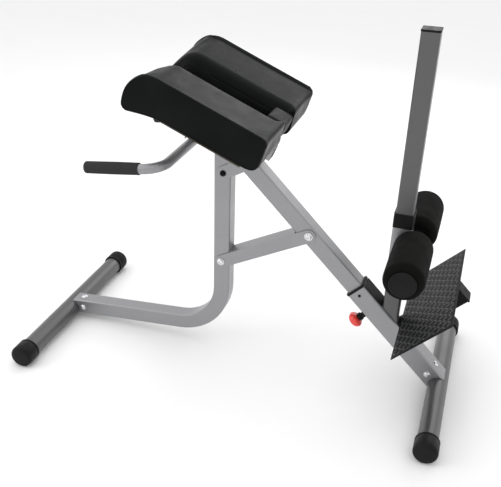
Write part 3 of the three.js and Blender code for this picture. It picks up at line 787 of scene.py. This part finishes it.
def cross_bolt(name, half, head, washer):
    """A through bolt: a button head on the near side, a shank, and a lock nut on the far side."""
    middle = center_of(name)
    builder = Builder()
    near = Vector((middle.x, -half, middle.z))
    far = Vector((middle.x, half, middle.z))
    profile = [(r * MM, h * MM) for r, h in button_profile(head, head * 0.62, washer, 2.2)]
    builder.lathe(profile, near, -Y, 48, socket_shape(head * SOCKET_SHARE * MM))
    shank = 4.9 * MM
    builder.lathe([(0, 0), (shank, 0), (shank, 2 * half), (0, 2 * half)], near, Y, 24)
    rim = washer * MM
    builder.lathe([(0, 0.01 * MM), (rim, 0.01 * MM), (rim, 2.2 * MM), (0, 2.2 * MM)], far, Y, 40)
    top = far + Y * 2.2 * MM
    builder.prism(hexagon(head * MM), top, Z, X, Y, 6 * MM)
    collar = head * 0.78 * MM
    profile = [(0, 0), (collar, 0), (collar, 1.6 * MM), (collar - 1.2 * MM, 2.8 * MM), (shank, 2.8 * MM)]
    profile += [(shank, 4.4 * MM), (shank - 0.8 * MM, 5.2 * MM), (0, 5.2 * MM)]
    builder.lathe(profile, top + Y * 6 * MM, Y, 32)
    obj = builder.finish(name + "_set")
    bevel(obj, 0.35 * MM)
    obj.modifiers.move(1, 0)
    fit(obj, "front_frame", SLOT_OF[name], name)


KNOB_HALF = 14.5


def knob(name, body, joint, reach, lift, radius):
    """A zinc spring pin with a round moulded knob, faintly fluted, on a short black neck."""
    axis = Vector(JOINTS[joint]["axis"]).normalized()
    corners = [v.co.dot(axis) for v in NODES[name].data.vertices]
    middle = center_of(name)
    origin = middle + axis * (min(corners) - middle.dot(axis)) + axis * reach * MM
    half = KNOB_HALF
    base = lift + 8
    profile = [(0, lift + 1), (8, lift + 1), (8, base)]
    for k in range(1, 14):
        a = math.radians(-62 + 152 * k / 14)
        profile.append((radius * math.cos(a) ** 0.8, base + half * (0.88 + math.sin(a))))
    profile.append((0, base + half * 1.88))
    profile = [(r * MM, h * MM) for r, h in profile]

    def flutes(angle, r, height):
        depth = 1 - min(abs(height / MM - base - half) / half, 1)
        return 1 - 0.022 * depth * (0.5 + 0.5 * math.cos(8 * angle)) ** 2

    obj = Builder().lathe(profile, origin, axis, 96, flutes).finish(name + "_grip")
    subdivide(obj, 1)
    obj.modifiers.move(1, 0)
    fit(obj, body, "red_knob", name)
    foot = lift - 1.6
    ring = [(5.3, foot), (11.4, foot), (12.2, foot + 0.8)]
    ring += [(12.2, lift + 6), (11, lift + 7.8), (5.3, lift + 7.8)]
    neck = Builder().lathe([(r * MM, h * MM) for r, h in ring], origin, axis, 48).finish(name + "_neck")
    fit(neck, body, "black_plastic")
    rod = [(0, -reach), (4.4, -reach), (5.2, -reach + 1.6), (5.2, lift + 1.2), (0, lift + 1.2)]
    pin = Builder().lathe([(r * MM, h * MM) for r, h in rod], origin, axis, 32).finish(name + "_pin")
    fit(pin, body, "zinc_fasteners")


# --- foot plate ---------------------------------------------------------------

LUG_PITCH = 16 * MM
LUG_LENGTH = 20 * MM
LUG_WIDTH = 6.5 * MM
LUG_HEIGHT = 1.6 * MM
LUG_SINK = 0.5 * MM
TREAD_MARGIN = 8 * MM


def add_lug(builder, center, along, across, up):
    """One raised lens of the tread: pointed ends, rounded crest, closed underneath."""
    stations = [-1, -0.8, -0.5, 0, 0.5, 0.8, 1]
    rows = []
    points = []
    for s in stations:
        half = LUG_WIDTH / 2 * math.sqrt(max(1 - s * s, 0)) ** 1.1
        crest = LUG_HEIGHT * (1 - s * s) ** 0.6
        spot = center + along * (s * LUG_LENGTH / 2)
        if abs(s) == 1:
            rows.append([len(points)] * 5)
            points.append(spot - up * LUG_SINK)
            continue
        rows.append(list(range(len(points), len(points) + 5)))
        points.append(spot - across * half - up * LUG_SINK)
        points.append(spot - across * half * 0.6 + up * crest * 0.85)
        points.append(spot + up * crest)
        points.append(spot + across * half * 0.6 + up * crest * 0.85)
        points.append(spot + across * half - up * LUG_SINK)
    faces = []
    for a, b in zip(rows, rows[1:]):
        for k in range(5):
            n = (k + 1) % 5
            corners = list(dict.fromkeys([a[k], a[n], b[n], b[k]]))
            if len(corners) > 2:
                faces.append(corners)
    builder.add(points, faces)


def tread():
    """The plate's raised lugs: rows of lenses that lean left and right in turn."""
    corners = [v.co for v in NODES["foot_plate"].data.vertices]
    along = [c.dot(BOOM_UP) for c in corners]
    face = max(c.dot(BOOM_DIR) for c in corners)
    low, high = min(along), max(along)
    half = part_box("foot_plate")[1].y
    margin = TREAD_MARGIN
    rows = int((high - low - 2 * margin) / LUG_PITCH)
    columns = int(2 * (half - margin) / LUG_PITCH)
    builder = Builder()
    for r in range(rows + 1):
        n = (low + high) / 2 + (r - rows / 2) * LUG_PITCH
        for c in range(columns + 1):
            y = (c - columns / 2) * LUG_PITCH
            lean = math.radians(45 if (r + c) % 2 else -45)
            center = BOOM_DIR * face + BOOM_UP * n + Y * y
            direction = Y * math.cos(lean) + BOOM_UP * math.sin(lean)
            add_lug(builder, center, direction, BOOM_DIR.cross(direction), BOOM_DIR)
    obj = builder.finish("foot_plate_tread")
    # The lugs take a lighter copy of the plate's steel: painted highlight.
    fit(obj, "rear_unit", "black_steel", look=highlit_tread_steel())


# --- stage --------------------------------------------------------------------

# The camera's place, its turns, its lens and sensor in millimetres, and its shift in widths of the view.
CAMERA_AT = (0.5937, -1.8966, 1.4370)
YAW, PITCH, ROLL = (math.radians(a) for a in (-17.475, -30.189, 1.709))
LENS = 54.0041
SENSOR = 36
SHIFT = (0.0073253, 0.0592814)


def place_camera():
    forward = Vector((math.sin(YAW) * math.cos(PITCH), math.cos(YAW) * math.cos(PITCH), math.sin(PITCH)))
    level = Vector((math.cos(YAW), -math.sin(YAW), 0))
    upright = level.cross(forward)
    right = level * math.cos(ROLL) + upright * math.sin(ROLL)
    up = upright * math.cos(ROLL) - level * math.sin(ROLL)
    data = bpy.data.cameras.new("camera")
    data.sensor_fit = "HORIZONTAL"
    data.sensor_width = SENSOR
    data.lens = LENS
    data.shift_x, data.shift_y = SHIFT
    camera = bpy.data.objects.new("camera", data)
    bpy.context.scene.collection.objects.link(camera)
    turn = Matrix((right, up, -forward)).transposed().to_4x4()
    camera.matrix_world = Matrix.Translation(CAMERA_AT) @ turn
    bpy.context.scene.camera = camera


FLOOR_HALF = 30


def floor():
    """A very large pale floor."""
    half = FLOOR_HALF
    corners = [(-half, -half, 0), (half, -half, 0), (half, half, 0), (-half, half, 0)]
    obj = make("floor", corners, [[0, 1, 2, 3]])
    look = Look("floor", (0.93, 0.93, 0.93), 0.75)
    look.tint(look.noise(3, 2), 0.3, 0.7, 0.99, 1.0)
    obj.data.materials.append(look.set(Specular_IOR_Level=0.1).material)


def soft_box(name, at, aim, size, power):
    data = bpy.data.lights.new(name, "AREA")
    data.shape = "RECTANGLE"
    data.size, data.size_y = size
    data.energy = power
    light = bpy.data.objects.new(name, data)
    bpy.context.scene.collection.objects.link(light)
    light.location = at
    light.rotation_euler = (Vector(aim) - Vector(at)).to_track_quat("-Z", "Y").to_euler()


WORLD_STRENGTH = 0.96


def studio():
    """Three soft lights and an even white world."""
    soft_box("overhead", at=(-0.3, 0.3, 3.2), aim=(0, 0, 0), size=(3.2, 2.6), power=26)
    soft_box("left_key", at=(-2.6, -1.6, 2.0), aim=(0, 0, 0.4), size=(1.6, 1.6), power=16)
    soft_box("back_strip", at=(0.6, 2.9, 1.9), aim=(0, 0, 0.6), size=(2.6, 0.9), power=14)
    world = bpy.data.worlds.new("studio")
    world.use_nodes = True
    world.node_tree.nodes["Background"].inputs["Color"].default_value = (1, 1, 1, 1)
    world.node_tree.nodes["Background"].inputs["Strength"].default_value = WORLD_STRENGTH
    bpy.context.scene.world = world
    bpy.context.scene.view_settings.view_transform = "Standard"


# --- assembly -----------------------------------------------------------------

TOP_SCREW_LEAN = math.radians(4.1)

place_camera()
dress_frame()
for tag, sign in (("near", NEAR), ("far", FAR)):
    pad(f"pad_{tag}", sign)
    roller(f"roller_{tag}")
    axle_cap(f"axle_cap_{tag}", sign)
    grip(f"grip_{tag}", sign)
    foot_cap(f"front_cap_{tag}", "front_frame", sign)
    foot_cap(f"rear_cap_{tag}", "rear_unit", sign)
    screw(f"front_screw_{tag}", "front_frame", Y * sign)
    screw(f"rear_screw_{tag}", "rear_unit", Y * sign)
    for end in ("front", "rear"):
        screw(f"pad_bolt_{end}_{tag}", "front_frame", -PAD_V)
screw("front_screw_top", "front_frame", (-math.sin(TOP_SCREW_LEAN), 0, math.cos(TOP_SCREW_LEAN)))
screw("rear_screw_top", "rear_unit", BOOM_UP)
cross_bolt("pivot_bolt", half=29.7 * MM, head=7.5, washer=9)
cross_bolt("brace_bolt_front", half=28.7 * MM, head=9.5, washer=11.5)
cross_bolt("brace_bolt_rear", half=28.7 * MM, head=10, washer=12.5)
knob("boom_pin_knob", "boom_pin", "boom_pin_pull", reach=4.6, lift=26, radius=24)
knob("carriage_pin_knob", "carriage_pin", "carriage_pin_pull", reach=3.1, lift=22, radius=20)
tread()
floor()
studio()
